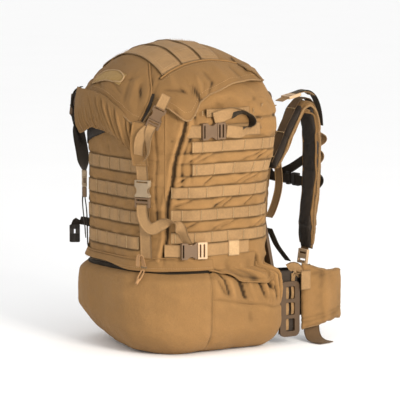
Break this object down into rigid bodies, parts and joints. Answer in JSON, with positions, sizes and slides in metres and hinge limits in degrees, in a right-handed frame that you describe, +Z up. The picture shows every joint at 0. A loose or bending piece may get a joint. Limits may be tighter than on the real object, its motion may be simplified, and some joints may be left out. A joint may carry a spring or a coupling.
{
  "type": "hunting backpack",
  "caption": "Tall framed load-carrying backpack with domed buckled lid, webbing rows, zipped lower compartment, padded shoulder harness and hip belt wings.",
  "frame": {"origin": "centre of the flat base the pack stands on, on the ground", "axes": "+Z up, -Y towards the pack's front face, +Y towards the wearer's harness, +X across"},
  "size_m": [0.388, 0.488, 0.6199],
  "materials": {
    "cordura": "coated nylon pack cloth, matte",
    "webbing": "woven nylon webbing",
    "mesh_lining": "black spacer mesh and lining",
    "black_webbing": "black nylon webbing",
    "buckle_plastic": "moulded acetal, satin",
    "frame_plastic": "moulded frame polymer, satin",
    "zip_metal": "dark coated zip slider",
    "loop_patch": "hook-and-loop tape"
  },
  "bodies": {
    "lid": {"lid_front_skirt": "cordura", "lid_top_panel": "cordura", "lid_cheek_right": "cordura", "lid_cheek_left": "cordura", "lid_hinge_piping": "cordura", "lid_webbing_bands": "webbing", "name_patch": "loop_patch", "lid_strap_webbing": "webbing", "lid_buckle_sockets": "buckle_plastic", "lid_corner_buckles": "buckle_plastic"},
    "front_clip_right": {"front_clip_right": "buckle_plastic"},
    "front_clip_left": {"front_clip_left": "buckle_plastic"},
    "zip_slider": {"zip_slider": "zip_metal"},
    "zip_pull": {"zip_pull": "zip_metal"},
    "harness": {"shoulder_pad_right": "cordura", "shoulder_pad_left": "cordura", "shoulder_pad_webbing": "webbing", "shoulder_ladder_locks": "buckle_plastic"},
    "sternum_strap": {"sternum_webbing": "black_webbing", "sternum_socket": "buckle_plastic"},
    "sternum_clip": {"sternum_clip": "buckle_plastic"},
    "hip_wing_right": {"hip_wing_right": "cordura", "hip_strap_right": "webbing", "hip_clip": "buckle_plastic"},
    "hip_wing_left": {"hip_wing_left": "cordura", "hip_strap_left": "webbing", "hip_socket": "buckle_plastic"},
    "side_clip_upper_right": {"side_clip_upper_right": "buckle_plastic"},
    "side_clip_upper_left": {"side_clip_upper_left": "buckle_plastic"},
    "side_clip_lower_right": {"side_clip_lower_right": "buckle_plastic"},
    "side_clip_lower_left": {"side_clip_lower_left": "buckle_plastic"},
    "pack": {"back_pad": "mesh_lining", "back_panel": "cordura", "base_panel": "cordura", "compartment_divider": "cordura", "frame": "frame_plastic", "frame_hip_ladder_left": "frame_plastic", "frame_hip_ladder_right": "frame_plastic", "frame_strap_webbing": "black_webbing", "front_straps": "webbing", "haul_handle": "webbing", "lower_front_panel": "cordura", "lower_side_panel_left": "cordura", "lower_side_panel_right": "cordura", "lumbar_pad": "mesh_lining", "main_front_panel": "cordura", "main_side_panel_left": "cordura", "main_side_panel_right": "cordura", "side_buckle_sockets": "buckle_plastic", "side_gusset_left": "cordura", "side_gusset_right": "cordura", "side_strap_anchors": "webbing", "side_strap_tails": "webbing", "storm_collar": "cordura", "webbing_rows_front": "webbing", "webbing_rows_left": "webbing", "webbing_rows_right": "webbing", "yoke_straps": "webbing", "zip_flap": "cordura", "zip_tape": "mesh_lining"}
  },
  "joints": [
    {"name": "lid_open", "type": "hinge", "parent": "pack", "child": "lid", "pos_m": [0, 0.149, 0.533], "axis": [-1, 0, 0], "range_deg": [0, 100]},
    {"name": "front_clip_right_release", "type": "slide", "parent": "pack", "child": "front_clip_right", "axis": [0, 0, -1], "range_m": [0, 0.025]},
    {"name": "front_clip_left_release", "type": "slide", "parent": "pack", "child": "front_clip_left", "axis": [0, 0, -1], "range_m": [0, 0.025]},
    {"name": "side_clip_upper_right_release", "type": "slide", "parent": "pack", "child": "side_clip_upper_right", "axis": [0, 1, 0], "range_m": [0, 0.025]},
    {"name": "side_clip_upper_left_release", "type": "slide", "parent": "pack", "child": "side_clip_upper_left", "axis": [0, 1, 0], "range_m": [0, 0.025]},
    {"name": "side_clip_lower_right_release", "type": "slide", "parent": "pack", "child": "side_clip_lower_right", "axis": [0.225, 0.9744, 0], "range_m": [0, 0.025]},
    {"name": "side_clip_lower_left_release", "type": "slide", "parent": "pack", "child": "side_clip_lower_left", "axis": [-0.225, 0.9744, 0], "range_m": [0, 0.025]},
    {"name": "zip_slide", "type": "hinge", "parent": "pack", "child": "zip_slider", "pos_m": [0.052, -0.03, 0.175], "axis": [0, 0, 1], "range_deg": [-27, 55]},
    {"name": "zip_pull_swing", "type": "hinge", "parent": "zip_slider", "child": "zip_pull", "pos_m": [0.11256, -0.1439, 0.172], "axis": [-0.8829, -0.4695, 0], "range_deg": [0, 70]},
    {"name": "harness_lift", "type": "hinge", "parent": "pack", "child": "harness", "pos_m": [0, 0.176, 0.352], "axis": [1, 0, 0], "range_deg": [0, 12]},
    {"name": "sternum_height", "type": "slide", "parent": "harness", "child": "sternum_strap", "axis": [0, 0, 1], "range_m": [-0.03, 0.03]},
    {"name": "sternum_release", "type": "slide", "parent": "sternum_strap", "child": "sternum_clip", "axis": [1, 0, 0], "range_m": [0, 0.02]},
    {"name": "hip_wing_right_fold", "type": "hinge", "parent": "pack", "child": "hip_wing_right", "pos_m": [0.165, 0.208, 0.097], "axis": [0, 0, 1], "range_deg": [-40, 15]},
    {"name": "hip_wing_left_fold", "type": "hinge", "parent": "pack", "child": "hip_wing_left", "pos_m": [-0.165, 0.208, 0.097], "axis": [0, 0, 1], "range_deg": [-15, 40]}
  ]
}
